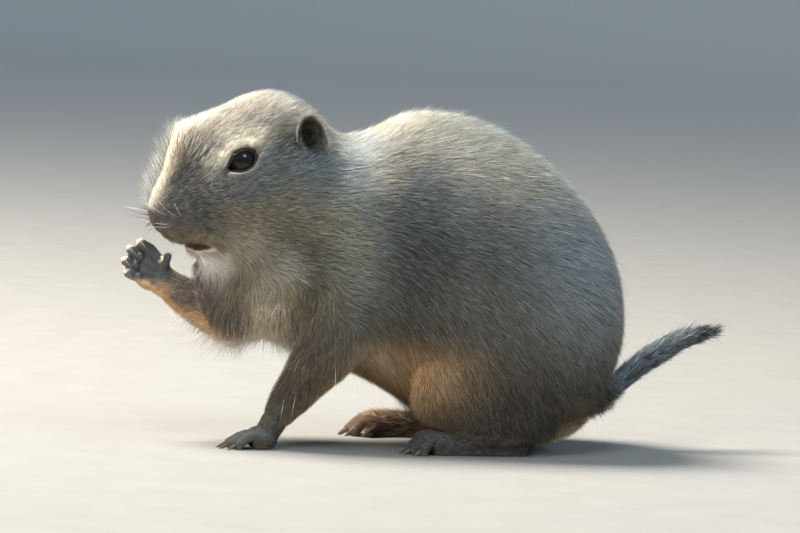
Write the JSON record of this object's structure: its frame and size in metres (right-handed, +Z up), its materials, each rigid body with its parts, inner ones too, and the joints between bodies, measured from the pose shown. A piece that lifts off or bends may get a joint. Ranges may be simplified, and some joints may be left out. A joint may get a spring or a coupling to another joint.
{
  "type": "prairie dog",
  "caption": "Life-size prairie dog sitting on its haunches, propped on one foreleg with the other hand held up at its mouth.",
  "frame": {"origin": "middle of the bounding box, on the floor the soles rest on", "axes": "+Z up; the animal faces -X and its left side faces -Y; the tail reaches to +X"},
  "size_m": [0.256, 0.1004, 0.1393],
  "materials": {
    "abdomen": "short grizzled fur",
    "chest": "soft pale fur",
    "head": "short grizzled fur",
    "left_ear": "short grizzled fur",
    "left_eye": "wet and glossy, dark brown",
    "left_fore_claw_1": "dark horn, smooth",
    "left_fore_claw_2": "dark horn, smooth",
    "left_fore_claw_3": "dark horn, smooth",
    "left_fore_claw_4": "dark horn, smooth",
    "left_fore_claw_5": "dark horn, smooth",
    "left_forearm": "soft pale fur",
    "left_forepaw": "short flat fur over skin",
    "left_hind_claw_1": "dark horn, smooth",
    "left_hind_claw_2": "dark horn, smooth",
    "left_hind_claw_3": "dark horn, smooth",
    "left_hind_claw_4": "dark horn, smooth",
    "left_hind_claw_5": "dark horn, smooth",
    "left_hind_foot": "short flat fur over skin",
    "left_thigh": "short grizzled fur",
    "left_upper_arm": "soft pale fur",
    "neck": "soft pale fur",
    "nose": "short fuzz over skin, matt",
    "right_ear": "short grizzled fur",
    "right_eye": "wet and glossy, dark brown",
    "right_fore_claw_1": "dark horn, smooth",
    "right_fore_claw_2": "dark horn, smooth",
    "right_fore_claw_3": "dark horn, smooth",
    "right_fore_claw_4": "dark horn, smooth",
    "right_fore_claw_5": "dark horn, smooth",
    "right_forearm": "soft pale fur",
    "right_forepaw": "short flat fur over skin",
    "right_hind_claw_1": "dark horn, smooth",
    "right_hind_claw_2": "dark horn, smooth",
    "right_hind_claw_3": "dark horn, smooth",
    "right_hind_claw_4": "dark horn, smooth",
    "right_hind_claw_5": "dark horn, smooth",
    "right_hind_foot": "short flat fur over skin",
    "right_thigh": "short grizzled fur",
    "right_upper_arm": "soft pale fur",
    "tail": "shaggy dark fur"
  },
  "bodies": {
    "root": {"abdomen": "abdomen", "chest": "chest", "head": "head", "left_ear": "left_ear", "left_eye": "left_eye", "left_fore_claw_1": "left_fore_claw_1", "left_fore_claw_2": "left_fore_claw_2", "left_fore_claw_3": "left_fore_claw_3", "left_fore_claw_4": "left_fore_claw_4", "left_fore_claw_5": "left_fore_claw_5", "left_forearm": "left_forearm", "left_forepaw": "left_forepaw", "left_hind_claw_1": "left_hind_claw_1", "left_hind_claw_2": "left_hind_claw_2", "left_hind_claw_3": "left_hind_claw_3", "left_hind_claw_4": "left_hind_claw_4", "left_hind_claw_5": "left_hind_claw_5", "left_hind_foot": "left_hind_foot", "left_thigh": "left_thigh", "left_upper_arm": "left_upper_arm", "neck": "neck", "nose": "nose", "right_ear": "right_ear", "right_eye": "right_eye", "right_fore_claw_1": "right_fore_claw_1", "right_fore_claw_2": "right_fore_claw_2", "right_fore_claw_3": "right_fore_claw_3", "right_fore_claw_4": "right_fore_claw_4", "right_fore_claw_5": "right_fore_claw_5", "right_forearm": "right_forearm", "right_forepaw": "right_forepaw", "right_hind_claw_1": "right_hind_claw_1", "right_hind_claw_2": "right_hind_claw_2", "right_hind_claw_3": "right_hind_claw_3", "right_hind_claw_4": "right_hind_claw_4", "right_hind_claw_5": "right_hind_claw_5", "right_hind_foot": "right_hind_foot", "right_thigh": "right_thigh", "right_upper_arm": "right_upper_arm", "tail": "tail"}
  },
  "joints": []
}
